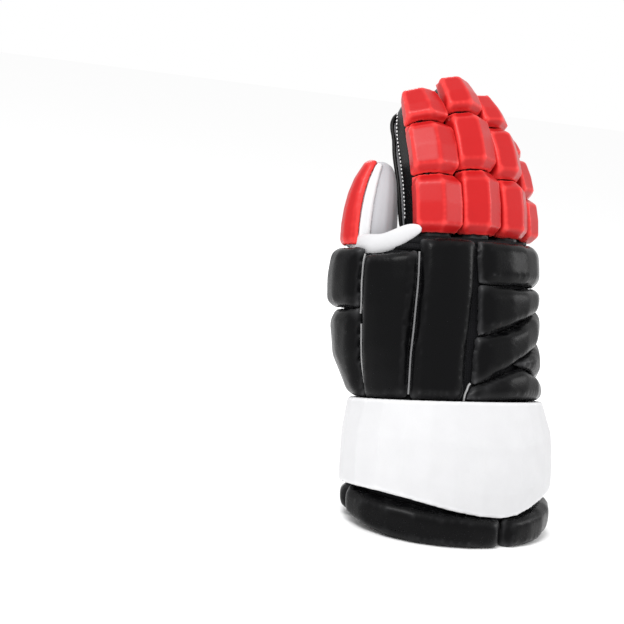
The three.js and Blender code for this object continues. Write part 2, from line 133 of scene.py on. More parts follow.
class Graph:
    """The nodes of one material."""

    def __init__(self, name: str) -> None:
        """Start a material with a Principled shader and Object coordinates."""
        self.material = bpy.data.materials.new(name)
        self.material.use_nodes = True
        self.tree = self.material.node_tree
        self.shader = self.tree.nodes["Principled BSDF"]
        coordinates = self.tree.nodes.new("ShaderNodeTexCoord")
        self.place = Wire(self, coordinates.outputs["Object"])

    def add(
        self,
        kind: str,
        settings: dict[str, object] | None = None,
        *values: "Wire | float | tuple",
        output: int | str = 0,
        **named: "Wire | float | tuple",
    ) -> Wire:
        """Add any node.

        Args:
            kind: The node's type.
            settings: Properties, which are set first.
            values: Inputs in order.
            output: The output to return.
            named: Inputs by name, with _ for a space.

        Returns:
            The chosen output's socket.
        """
        node = self.tree.nodes.new(kind)
        for key, value in (settings or {}).items():
            setattr(node, key, value)
        for index, value in enumerate(values):
            self.put(node.inputs[index], value)
        for key, value in named.items():
            self.put(node.inputs[key.replace("_", " ")], value)
        return Wire(self, node.outputs[output])

    def put(self, socket: bpy.types.NodeSocket, value: "Wire | float | tuple") -> None:
        """Link a wire to a socket, or set the socket's own value."""
        if isinstance(value, Wire):
            self.tree.links.new(value.socket, socket)
        else:
            socket.default_value = value

    def set(self, **values: "Wire | float | tuple") -> None:
        """Set the shader's inputs by name, with _ for a space."""
        for key, value in values.items():
            self.put(self.shader.inputs[key.replace("_", " ")], value)

    def noise(self, scale: float, detail: float = 2.0) -> Wire:
        """Return a noise value over the surface at a scale per metre."""
        return self.add("ShaderNodeTexNoise", None, Vector=self.place, Scale=scale, Detail=detail)

    def cells(self, scale: float) -> Wire:
        """Return the distance to the nearest cell point at a scale per metre."""
        return self.add(
            "ShaderNodeTexVoronoi", {"feature": "F1"}, Vector=self.place, Scale=scale, Randomness=1.0
        )

    def blend(self, mask: Wire | float, low: "Wire | tuple", high: "Wire | tuple") -> Wire:
        """Return a colour mixed from low to high by a mask."""
        node = self.tree.nodes.new("ShaderNodeMix")
        node.data_type = "RGBA"
        self.put(node.inputs[0], mask)
        self.put(node.inputs[6], low)
        self.put(node.inputs[7], high)
        return Wire(self, node.outputs[2])

    def bump(self, height: Wire, depth: float, strength: float = 1.0) -> Wire:
        """Return the normal of a relief with a depth in metres."""
        return self.add("ShaderNodeBump", None, Strength=strength, Distance=depth, Height=height)


def shade(colour: tuple[float, float, float], factor: float) -> tuple[float, float, float, float]:
    """Return a colour made lighter or darker, with alpha."""
    return tuple(min(1.0, part * factor) for part in colour) + (1.0,)


@dataclass(frozen=True)
class CoatedFoam:
    """Glossy coated fabric over foam, with a fine grain, a painted highlight on raised points and a
    painted shade in sunk ones.
    """

    name: str
    colour: tuple[float, float, float]
    # ridge: the colour of the painted highlight on raised points
    ridge: tuple[float, float, float]
    # groove: the factor of the painted shade that darkens sunk points
    groove: float
    roughness: float
    coat: float
    specular: float
    grain: float = 0.00008

    def material(self) -> bpy.types.Material:
        """Return the material."""
        graph = Graph(self.name)
        ridge = graph.add("ShaderNodeAttribute", {"attribute_name": "ridge"}, output="Fac")
        mottle = graph.noise(60.0, 3.0)
        base = graph.blend(mottle, shade(self.colour, 0.95), shade(self.colour, 1.04))
        # Painted highlight: raised points are tinted paler, towards the ridge colour.
        raised = graph.blend(ridge.over(0.56, 0.95), base, self.ridge + (1.0,))
        # Painted shade: sunk points, such as the grooves between pads, are darkened by the groove
        # factor.
        colour = graph.blend(ridge.over(0.46, 0.1), raised, shade(self.colour, self.groove))
        grain = graph.cells(950.0) + graph.noise(2600.0) * 0.5
        graph.set(
            Base_Color=colour,
            Roughness=graph.noise(220.0) * 0.1 + self.roughness - 0.05,
            Coat_Weight=self.coat,
            Coat_Roughness=0.25,
            Specular_IOR_Level=self.specular,
            Normal=graph.bump(grain, self.grain, 0.5),
        )
        return graph.material


@dataclass(frozen=True)
class Suede:
    """Soft brushed leather with a short nap."""

    name: str
    colour: tuple[float, float, float]
    roughness: float = 0.85
    nap: float = 0.00015

    def material(self) -> bpy.types.Material:
        """Return the material."""
        graph = Graph(self.name)
        cloud = graph.noise(45.0, 4.0)
        fibre = graph.noise(1500.0, 4.0)
        tone = cloud * 0.6 + fibre * 0.4
        graph.set(
            Base_Color=graph.blend(tone, shade(self.colour, 0.84), shade(self.colour, 1.1)),
            Roughness=self.roughness,
            Sheen_Weight=0.2,
            Normal=graph.bump(fibre + cloud * 0.5, self.nap, 0.6),
        )
        return graph.material


@dataclass(frozen=True)
class Knit:
    """Stretch knit with fine crossed ribs."""

    name: str
    colour: tuple[float, float, float]
    pitch: float = 0.0016

    def material(self) -> bpy.types.Material:
        """Return the material."""
        graph = Graph(self.name)
        ribs = []
        for direction in ("X", "Z"):
            ribs.append(
                graph.add(
                    "ShaderNodeTexWave",
                    {"bands_direction": direction, "wave_profile": "SIN"},
                    Vector=graph.place,
                    Scale=0.314 / self.pitch,
                    Distortion=0.6,
                )
            )
        weave = ribs[0] * 0.6 + ribs[1] * 0.4
        graph.set(
            Base_Color=graph.blend(weave, shade(self.colour, 0.55), shade(self.colour, 1.5)),
            Roughness=0.8,
            Specular_IOR_Level=0.1,
            Normal=graph.bump(weave, 0.0003, 0.8),
        )
        return graph.material


@dataclass(frozen=True)
class Thread:
    """Twisted sewing thread."""

    name: str
    colour: tuple[float, float, float]

    def material(self) -> bpy.types.Material:
        """Return the material."""
        graph = Graph(self.name)
        twist = graph.noise(3000.0)
        graph.set(
            Base_Color=graph.blend(twist, shade(self.colour, 0.75), shade(self.colour, 1.05)),
            Roughness=0.6,
            Normal=graph.bump(twist, 0.00008, 0.5),
        )
        return graph.material


class Finish(Enum):
    """The finishes of the glove."""

    # In each coated finish the third colour is a painted highlight on raised points, and groove is a
    # painted shade on sunk ones.
    RED = CoatedFoam(
        "red_coated_foam", (0.43, 0.0085, 0.0095), (0.72, 0.045, 0.042),
        groove=0.4, roughness=0.33, coat=0.08, specular=0.16,
    )
    BLACK = CoatedFoam(
        "black_coated_foam", (0.0018, 0.0018, 0.0021), (0.046, 0.046, 0.048),
        groove=0.4, roughness=0.28, coat=0.0, specular=0.085,
    )
    WHITE = CoatedFoam(
        "white_coated_cloth", (0.56, 0.56, 0.57), (0.66, 0.66, 0.67),
        groove=0.85, roughness=0.5, coat=0.0, specular=0.2,
    )
    PALM = Suede("palm_suede", (0.42, 0.42, 0.44))
    LINER = Knit("liner_knit", (0.007, 0.007, 0.008))
    PIPING = CoatedFoam(
        "black_piping", (0.004, 0.004, 0.0045), (0.008, 0.008, 0.008),
        groove=1.0, roughness=0.34, coat=0.0, specular=0.15,
    )
    # Pale grey as a painted highlight on piping that is itself black and glossy.
    CORD = CoatedFoam(
        "piping_painted_highlight_grey", (0.14, 0.14, 0.145), (0.3, 0.3, 0.3),
        groove=1.0, roughness=0.3, coat=0.0, specular=0.3,
    )
    STITCH = Thread("white_thread", (0.9, 0.9, 0.9))


class Paint:
    """Makes each finish once and puts it on pieces."""

    made: dict[Finish, bpy.types.Material] = {}

    @classmethod
    def put(cls, piece: Piece, finish: Finish) -> None:
        """Give a piece its finish."""
        if finish not in cls.made:
            cls.made[finish] = finish.value.material()
        piece.data.materials.clear()
        piece.data.materials.append(cls.made[finish])


def only(piece: Piece) -> None:
    """Select one object alone and make it active."""
    bpy.ops.object.select_all(action="DESELECT")
    piece.select_set(True)
    bpy.context.view_layer.objects.active = piece


def apply_modifier(piece: Piece, kind: str, **settings: object) -> None:
    """Add a modifier and apply it.

    Args:
        piece: The object to change.
        kind: The modifier's type.
        settings: Its properties.
    """
    only(piece)
    modifier = piece.modifiers.new(kind.lower(), kind)
    for key, value in settings.items():
        setattr(modifier, key, value)
    bpy.ops.object.modifier_apply(modifier=modifier.name)


def rounded(piece: Piece, levels: int = 1) -> None:
    """Round a piece by subdivision."""
    apply_modifier(piece, "SUBSURF", levels=levels, render_levels=levels)


def copy_node(node: str) -> Piece:
    """Return a new piece with a CAD node's shape, its loose triangles merged to quads."""
    source = frame["nodes"][node]
    piece = bpy.data.objects.new(node + "_soft", source.data.copy())
    bpy.context.scene.collection.objects.link(piece)
    only(piece)
    bpy.ops.object.mode_set(mode="EDIT")
    bpy.ops.mesh.select_all(action="SELECT")
    bpy.ops.mesh.remove_doubles(threshold=0.00002)
    bpy.ops.mesh.tris_convert_to_quads()
    bpy.ops.object.mode_set(mode="OBJECT")
    return piece


def mark_ridges(piece: Piece, reach: float = 0.25, passes: int = 3) -> None:
    """Store how far each point is raised above or sunk below its neighbours.

    Args:
        piece: The object to mark.
        reach: Rise against the mean edge length that counts as a full ridge.
        passes: Times that the value is averaged over its neighbours.
    """
    shape = bmesh.new()
    shape.from_mesh(piece.data)
    shape.verts.ensure_lookup_table()
    rise = []
    for vert in shape.verts:
        near = [edge.other_vert(vert).co for edge in vert.link_edges]
        if not near:
            rise.append(0.0)
            continue
        mean = sum(near, Vector()) / len(near)
        size = sum((vert.co - other).length for other in near) / len(near)
        rise.append((vert.co - mean).dot(vert.normal) / max(size, 1e-9))
    links = [[edge.other_vert(vert).index for edge in vert.link_edges] for vert in shape.verts]
    for _ in range(passes):
        rise = [
            (value + sum(rise[k] for k in near)) / (1 + len(near))
            for value, near in zip(rise, links)
        ]
    shape.free()
    values = [min(1.0, max(0.0, 0.5 + value / reach)) for value in rise]
    # This value is the mask for the coated finishes' painted highlight on raised points and painted
    # shade on sunk ones.
    mark = piece.data.attributes.new("ridge", "FLOAT", "POINT")
    mark.data.foreach_set("value", values)


def finish_piece(piece: Piece, slot: str, finish: Finish, *nodes: str) -> Piece:
    """Smooth-shade a piece, dress it and tie it to the frame.

    Args:
        piece: The finished object.
        slot: The material slot; not used.
        finish: Its finish.
        nodes: CAD nodes that it stands for.

    Returns:
        The piece.
    """
    if isinstance(finish.value, CoatedFoam):
        mark_ridges(piece)
    only(piece)
    bpy.ops.object.shade_smooth()
    Paint.put(piece, finish)
    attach(piece, "root")
    if nodes:
        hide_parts(*nodes)
    log.info("%s: %d faces", piece.name, len(piece.data.polygons))
    return piece


def swell(piece: Piece, pressure: float, cap: float) -> None:
    """Let cloth swell by pressure, with each point's move capped.

    Args:
        piece: The closed object to swell.
        pressure: The cloth's pressure.
        cap: The furthest move in metres.
    """
    only(piece)
    before = [vert.co.copy() for vert in piece.data.vertices]
    cloth = piece.modifiers.new("cloth", "CLOTH")
    cloth.settings.use_pressure = True
    cloth.settings.uniform_pressure_force = pressure
    for setting, value in CLOTH.items():
        setattr(cloth.settings, setting, value)
    cloth.settings.effector_weights.gravity = 0
    cloth.collision_settings.use_collision = False
    scene = bpy.context.scene
    for number in range(1, SWELL_FRAMES + 1):
        scene.frame_set(number)
    bpy.ops.object.modifier_apply(modifier=cloth.name)
    scene.frame_set(1)
    furthest = 0.0
    for vert, start in zip(piece.data.vertices, before):
        move = vert.co - start
        furthest = max(furthest, move.length)
        if move.length > cap:
            vert.co = start + move.normalized() * cap
    log.info("%s swelled %.2f mm, capped at %.2f mm", piece.name, furthest * 1000, cap * 1000)


@dataclass
class SoftPads:
    """A set of padded pieces that stand for CAD nodes of the same finish."""

    nodes: tuple[str, ...]
    slot: str
    finish: Finish
    voxel: float = 0.0012
    smooth: int = 5
    fill: float = 0.8
    pressure: float = 0.0
    cap: float = 0.0008
    plump: float = 0.0006

    def build(self) -> None:
        """Make and dress each pad."""
        for node in self.nodes:
            piece = copy_node(node)
            apply_modifier(piece, "REMESH", mode="VOXEL", voxel_size=self.voxel)
            apply_modifier(piece, "DISPLACE", strength=self.plump, mid_level=0.0)
            apply_modifier(piece, "SMOOTH", factor=0.5, iterations=self.smooth)
            if self.pressure:
                swell(piece, self.pressure, self.cap)
                rounded(piece)
            finish_piece(piece, self.slot, self.finish, node)


@dataclass
class ThinLayers:
    """Thin walls of cloth or leather that stand for CAD nodes."""

    nodes: tuple[str, ...]
    slot: str
    finish: Finish
    levels: int = 2
    smooth: int = 4

    def build(self) -> None:
        """Make and dress each layer."""
        for node in self.nodes:
            piece = copy_node(node)
            levels = {"levels": self.levels, "render_levels": self.levels}
            apply_modifier(piece, "SUBSURF", subdivision_type="SIMPLE", **levels)
            apply_modifier(piece, "SMOOTH", factor=0.5, iterations=self.smooth)
            finish_piece(piece, self.slot, self.finish, node)


class Ground:
    """The outer surface of some pieces, for laying leather, seams and pads on it."""

    def __init__(self, *pieces: Piece) -> None:
        """Gather the pieces' faces."""
        points, faces = [], []
        for piece in pieces:
            start = len(points)
            points += [vert.co.copy() for vert in piece.data.vertices]
            faces += [[start + k for k in face.vertices] for face in piece.data.polygons]
        self.tree = BVHTree.FromPolygons(points, faces)

    def seen_from(self, place: Vector, direction: Vector) -> Vector | None:
        """Return where a straight line from outside first meets the pieces.

        Args:
            place: Any point of the line.
            direction: The way from the pieces to the viewer.

        Returns:
            The point, or None if the line misses.
        """
        return self.tree.ray_cast(place + direction * FAR, -direction)[0]

    def nearest(self, place: Vector) -> tuple[Vector, Vector]:
        """Return the closest point of the pieces and its outward normal."""
        point, normal = self.tree.find_nearest(place)[:2]
        return point, normal


def ease(value: float, low: float, high: float) -> float:
    """Return a smooth step from 0 at low to 1 at high."""
    share = min(1.0, max(0.0, (value - low) / (high - low)))
    return share * share * (3 - 2 * share)


def spread(step: int, steps: int) -> float:
    """Return a step's share of the way from 0 to 1, with steps closer near both ends."""
    return (1 - math.cos(math.pi * step / steps)) / 2


def along(table: Table, place: float) -> float:
    """Return a value read between the rows of a table of (place, value)."""
    if place <= table[0][0]:
        return table[0][1]
    for (before, first), (after, second) in zip(table, table[1:]):
        if place <= after:
            return first + (second - first) * (place - before) / (after - before)
    return table[-1][1]


def smoothed(table: list[tuple[float, float]], passes: int = 3) -> list[tuple[float, float]]:
    """Return a table of (place, value) with its values evened out."""
    for _ in range(passes):
        values = [value for _, value in table]
        means = [
            (values[max(k - 1, 0)] + 2 * values[k] + values[min(k + 1, len(values) - 1)]) / 4
            for k in range(len(values))
        ]
        table = [(place, value) for (place, _), value in zip(table, means)]
    return table


def evened(line: list[Vector], passes: int) -> list[Vector]:
    """Return a line with its bends evened out and its ends kept."""
    for _ in range(passes):
        between = [
            (before + here * 2 + after) / 4 for before, here, after in zip(line, line[1:], line[2:])
        ]
        line = [line[0], *between, line[-1]]
    return line


def new_mesh(name: str, points: list[Vector], faces: list[list[int]]) -> Piece:
    """Return a new object from points and faces, with close points merged."""
    mesh = bpy.data.meshes.new(name)
    mesh.from_pydata([tuple(point) for point in points], [], faces)
    piece = bpy.data.objects.new(name, mesh)
    bpy.context.scene.collection.objects.link(piece)
    only(piece)
    bpy.ops.object.mode_set(mode="EDIT")
    bpy.ops.mesh.select_all(action="SELECT")
    bpy.ops.mesh.remove_doubles(threshold=0.00005)
    bpy.ops.mesh.normals_make_consistent(inside=False)
    bpy.ops.object.mode_set(mode="OBJECT")
    return piece


def tube(name: str, lines: list[list[Vector]], radius: float) -> Piece:
    """Return round cord along some lines of points."""
    curve = bpy.data.curves.new(name, "CURVE")
    curve.dimensions = "3D"
    curve.bevel_depth = radius
    curve.bevel_resolution = 2
    curve.use_fill_caps = True
    for line in lines:
        spline = curve.splines.new("POLY")
        spline.points.add(len(line) - 1)
        for point, place in zip(spline.points, line):
            point.co = (*place, 1.0)
    cord = bpy.data.objects.new(name, curve)
    bpy.context.scene.collection.objects.link(cord)
    only(cord)
    bpy.ops.object.convert(target="MESH")
    return bpy.context.active_object


def swept(
    name: str, path: list[Vector], heights: list[float], widths: list[float], square: float = 1.0
) -> Piece:
    """Return a closed, rounded strip that stands upright along a path.

    Args:
        name: The object's name.
        path: The points of its middle line.
        heights: Half its height at each point.
        widths: Half its width at each point.
        square: Below 1 the section grows squarer.

    Returns:
        The object.
    """
    sides = 16
    points, faces = [], []
    for k, place in enumerate(path):
        way = (path[min(k + 1, len(path) - 1)] - path[max(k - 1, 0)]).normalized()
        out = way.cross(UPWARD).normalized()
        up = out.cross(way).normalized()
        for side in range(sides):
            turn = 2 * math.pi * side / sides
            rise, reach = math.sin(turn), math.cos(turn)
            points.append(
                place
                + up * math.copysign(abs(rise) ** square, rise) * heights[k]
                + out * math.copysign(abs(reach) ** square, reach) * widths[k]
            )
    for k in range(len(path) - 1):
        here, following = k * sides, (k + 1) * sides
        for side in range(sides):
            after = (side + 1) % sides
            faces.append([here + side, here + after, following + after, following + side])
    faces.append(list(range(sides)))
    faces.append([(len(path) - 1) * sides + k for k in range(sides)])
    return new_mesh(name, points, faces)


def spaced(line: list[Vector], step: float) -> list[tuple[Vector, Vector]]:
    """Return points at even steps along a line, with the line's direction at each."""
    places = []
    left = step / 2
    for start, end in zip(line, line[1:]):
        length = (end - start).length
        if length < 1e-9:
            continue
        way = (end - start) / length
        while left <= length:
            places.append((start + way * left, way))
            left += step
        left -= length
    return places


@dataclass
class Stitches:
    """Rows of short raised stitches on a surface."""

    name: str
    lines: list[list[Vector]]
    ground: Ground
    pitch: float = 0.0031
    length: float = 0.0021
    radius: float = 0.00042
    slot: str = "white_trim"
    finish: Finish = Finish.STITCH

    def build(self) -> None:
        """Copy one stitch along every line."""
        bpy.ops.object.select_all(action="DESELECT")
        bpy.ops.mesh.primitive_uv_sphere_add(segments=6, ring_count=4, radius=1.0)
        pattern = bpy.context.active_object
        corners = [vert.co.copy() for vert in pattern.data.vertices]
        sides = [list(face.vertices) for face in pattern.data.polygons]
        bpy.data.objects.remove(pattern)
        points, faces = [], []
        for line in self.lines:
            for place, way in spaced(line, self.pitch):
                point, normal = self.ground.nearest(place)
                cross = way.cross(normal).normalized()
                out = cross.cross(way).normalized()
                start = len(points)
                for corner in corners:
                    points.append(
                        point
                        + way * corner.x * self.length / 2
                        + cross * corner.y * self.radius
                        + out * (corner.z * self.radius + self.radius * 0.35)
                    )
                faces += [[start + k for k in side] for side in sides]
        finish_piece(new_mesh(self.name, points, faces), self.slot, self.finish)


@dataclass
class PalmLeather:
    """One sheet of leather over the palm, slit between the fingers and rounded at their ends."""

    hand: Ground
    palm: tuple[Piece, ...]
    strips: dict[str, Piece]
    sleeves: dict[str, Piece]
    bottom: float = 0.103
    root: float = 0.205
    columns: int = 10
    rows: int = 76
    shared: int = 44
    thickness: float = 0.0014
    clear: float = 0.0005
    gap: float = 0.0009
    half: dict[str, float] = field(
        default_factory=lambda: {"index": 0.0132, "middle": 0.0132, "ring": 0.0128, "pinkie": 0.0112}
    )
    reach: dict[str, float] = field(
        default_factory=lambda: {"index": 0.86, "middle": 0.87, "ring": 0.86, "pinkie": 0.84}
    )
    slits: tuple[float, ...] = (0.21, 0.199, 0.188)
    cut: tuple[float, float] = (0.118, 0.222)
    band: float = 0.012
    readings: int = 21
    above_root: float = 0.006
    scan: tuple[int, int] = (-60, 80)  # millimetres across
    facing: float = 0.75

    def __post_init__(self) -> None:
        """Read the palm's edges and each finger's middle line on its palm side."""
        palm = [vert.co for piece in self.palm for vert in piece.data.vertices]
        levels = [0.108 + self.band * step for step in range(8)]
        bands = [[point.x for point in palm if abs(point.z - level) < self.band] for level in levels]
        self.index_edge = tuple((level, min(band) - 0.002) for level, band in zip(levels, bands))
        self.pinkie_edge = tuple(
            (level, max(band) + 0.003 * ease(level, 0.115, 0.15)) for level, band in zip(levels, bands)
        )
        self.middle: dict[str, Table] = {}
        self.front: dict[str, Table] = {}
        self.top: dict[str, float] = {}
        for finger in FINGERS:
            heights = [vert.co.z for vert in self.sleeves[finger].data.vertices]
            low, high = min(heights), max(heights)
            self.top[finger] = low + (high - low) * self.reach[finger]
            ground = Ground(self.sleeves[finger], self.strips[finger])
            self.read_finger(finger, ground, low)

    def read_finger(self, finger: str, ground: Ground, low: float) -> None:
        """Read a finger's middle line and its front up to its top.

        Args:
            finger: The finger.
            ground: Its sleeve and palm strip.
            low: The sleeve's lowest height.
        """
        middle, front = [], []
        for step in range(self.readings + 1):
            rise = (self.top[finger] - low - self.above_root) * step / self.readings
            height = low + self.above_root + rise
            flat = []
            for place in range(*self.scan):
                hit = ground.seen_from(Vector((place * 0.001, 0.0, height)), PALMWARD)
                if hit is None:
                    continue
                normal = ground.nearest(hit)[1]
                if normal.y > self.facing * math.hypot(normal.x, normal.y):
                    flat.append(hit)
            if flat:
                middle.append((height, (flat[0].x + flat[-1].x) / 2))
                front.append((height, max(hit.y for hit in flat)))
        self.middle[finger] = tuple(smoothed(middle))
        self.front[finger] = tuple(smoothed(front))

    def level(self, finger: str, row: int) -> float:
        """Return a row's height, which all fingers share up to the highest slit."""
        split = self.slits[0] + 0.003
        if row <= self.shared:
            return self.bottom + (split - self.bottom) * row / self.shared
        share = (row - self.shared) / (self.rows - self.shared)
        return split + (self.top[finger] - split) * (1 - (1 - share) ** 1.7)

    def edges(self, finger: str, height: float) -> tuple[float, float]:
        """Return a finger strip's low and high x at a height."""
        number = FINGERS.index(finger)
        sides = []
        for side in (-1, 1):
            own = along(self.middle[finger], height) + side * self.half[finger]
            step = (self.top[finger] - height) / self.half[finger]
            if step < 1.0:
                round_off = math.sqrt(max(0.0, 1 - (1 - max(0.0, step)) ** 2.4))
                own = along(self.middle[finger], height) + side * self.half[finger] * round_off
            slit = number + (0 if side > 0 else -1)
            if 0 <= slit < 3:
                other = FINGERS[number + side]
                shared = (
                    along(self.middle[finger], height) * self.half[other]
                    + along(self.middle[other], height) * self.half[finger]
                ) / (self.half[finger] + self.half[other])
                start = self.slits[slit]
                open_by = ease(height, start, start + 0.03)
                split = shared - side * self.gap / 2 * ease(height, start - 0.001, start + 0.004)
                sides.append(split + (own - split) * open_by if abs(own - split) > 0 else own)
            else:
                table = self.index_edge if side < 0 else self.pinkie_edge
                share = ease(height, 0.185, 0.222)
                sides.append(along(table, height) * (1 - share) + own * share)
        return sides[0], sides[1]

    def depth(self, finger: str, across: float, height: float) -> float:
        """Return the leather's y over a place of the palm or a finger."""
        below = min(height, self.root)
        seen = [
            self.hand.seen_from(Vector((across, 0.0, below + shift)), PALMWARD)
            for shift in (-0.0035, 0.0, 0.0035)
        ]
        found = [place.y for place in seen if place is not None]
        middle = along(self.middle[finger], height)
        off = (across - middle) / self.half[finger]
        on_finger = along(self.front[finger], height) - 0.0032 * min(off * off, 1.3)
        if not found:
            return on_finger
        share = ease(height, self.root - 0.008, self.root + 0.014)
        return max(found) * (1 - share) + on_finger * share

    def build(self) -> Piece:
        """Make the sheet and return it."""
        points, faces = [], []
        for finger in FINGERS:
            start = len(points)
            for row in range(self.rows + 1):
                height = self.level(finger, row)
                low, high = self.edges(finger, height)
                for column in range(self.columns + 1):
                    across = low + (high - low) * column / self.columns
                    depth = self.depth(finger, across, height) + self.thickness + self.clear
                    points.append(Vector((across, depth, height)))
            width = self.columns + 1
            for row in range(self.rows):
                for column in range(self.columns):
                    corner = start + row * width + column
                    faces.append([corner, corner + 1, corner + width + 1, corner + width])
        sheet = new_mesh("palm_leather", points, faces)
        apply_modifier(sheet, "SMOOTH", factor=0.5, iterations=4)
        if sum(face.normal.y for face in sheet.data.polygons) < 0:
            sheet.data.flip_normals()
        apply_modifier(sheet, "SOLIDIFY", thickness=self.thickness, offset=-1.0)
        rounded(sheet)
        nodes = ["palm_upper", "palm_lower"] + [f"{finger}_palm_strip" for finger in FINGERS]
        finish_piece(sheet, "palm_leather", Finish.PALM, *nodes)
        return sheet

    def side_line(self, finger: str, side: int, low: float, high: float) -> list[Vector]:
        """Return a line up one outer edge of the leather between two heights."""
        line = []
        for step in range(13):
            height = low + (high - low) * step / 12
            across = self.edges(finger, height)[side]
            line.append(Vector((across, self.depth(finger, across, height), height)))
        return line

    def rim(self, finger: str, out: float, lift: float, low: float) -> list[Vector]:
        """Return a line round a finger strip, from one slit over the end to the other.

        Args:
            finger: The finger.
            out: How far outside the strip the line runs.
            lift: How far above the leather's middle the line runs.
            low: Height at which the line starts and ends.

        Returns:
            The line's points.
        """
        sides: list[list[Vector]] = [[], []]
        top = self.top[finger]
        for step in range(61):
            height = low + (top - 0.00005 - low) * (1 - (1 - step / 60) ** 2)
            edge = self.edges(finger, height)
            for k, side in enumerate((-1, 1)):
                sides[k].append(Vector((edge[k], self.depth(finger, edge[k], height) + lift, height)))
        line = sides[0] + sides[1][::-1]
        moved = []
        for k, point in enumerate(line):
            way = line[min(k + 1, len(line) - 1)] - line[max(k - 1, 0)]
            moved.append(point + Vector((-way.z, 0.0, way.x)).normalized() * out)
        return moved


@dataclass
class RaisedPatch:
    """A padded patch with rounded edges, laid on the palm side of a surface."""

    name: str
    ground: Ground
    start: float
    end: float
    low: Table
    high: Table
    height: float
    slot: str
    finish: Finish
    edge: float
    edge_sunk: float = 0.0002
    foot_sunk: float = 0.0008
    columns: int = 64
    rows: int = 28
    fill: float = 0.7

    def rise(self, inside: float) -> float:
        """Return the share of the full height at a distance inside the edge."""
        share = min(1.0, max(0.0, inside / self.edge))
        return math.sqrt(1 - (1 - share) ** 2)

    def build(self) -> None:
        """Make the patch as a closed slab that is sunk a little into the surface."""
        tops, feet = [], []
        for row in range(self.rows + 1):
            for column in range(self.columns + 1):
                across = self.start + (self.end - self.start) * spread(column, self.columns)
                low, high = along(self.low, across), along(self.high, across)
                height = low + (high - low) * spread(row, self.rows)
                inside = self.rise(min(across - self.start, self.end - across))
                inside *= self.rise(min(height - low, high - height))
                place = Vector((across, 0.0, height))
                hit = self.ground.seen_from(place, PALMWARD)
                if hit is None:
                    hit = self.ground.nearest(place + PALMWARD * 0.05)[0]
                normal = self.ground.nearest(hit)[1]
                tops.append(hit + normal * (self.height * inside - self.edge_sunk))
                feet.append(hit - normal * self.foot_sunk)
        width = self.columns + 1
        count = len(tops)
        faces = []
        for row in range(self.rows):
            for column in range(self.columns):
                corner = row * width + column
                ring = [corner, corner + 1, corner + width + 1, corner + width]
                faces.append(ring)
                faces.append([count + k for k in reversed(ring)])
        rim = (
            [k for k in range(width)]
            + [width * row + self.columns for row in range(1, self.rows + 1)]
            + [width * self.rows + k for k in range(self.columns - 1, -1, -1)]
            + [width * row for row in range(self.rows - 1, 0, -1)]
        )
        for k, here in enumerate(rim):
            after = rim[(k + 1) % len(rim)]
            faces.append([after, here, count + here, count + after])
        piece = new_mesh(self.name, tops + feet, faces)
        apply_modifier(piece, "SMOOTH", factor=0.5, iterations=2)
        finish_piece(piece, self.slot, self.finish)


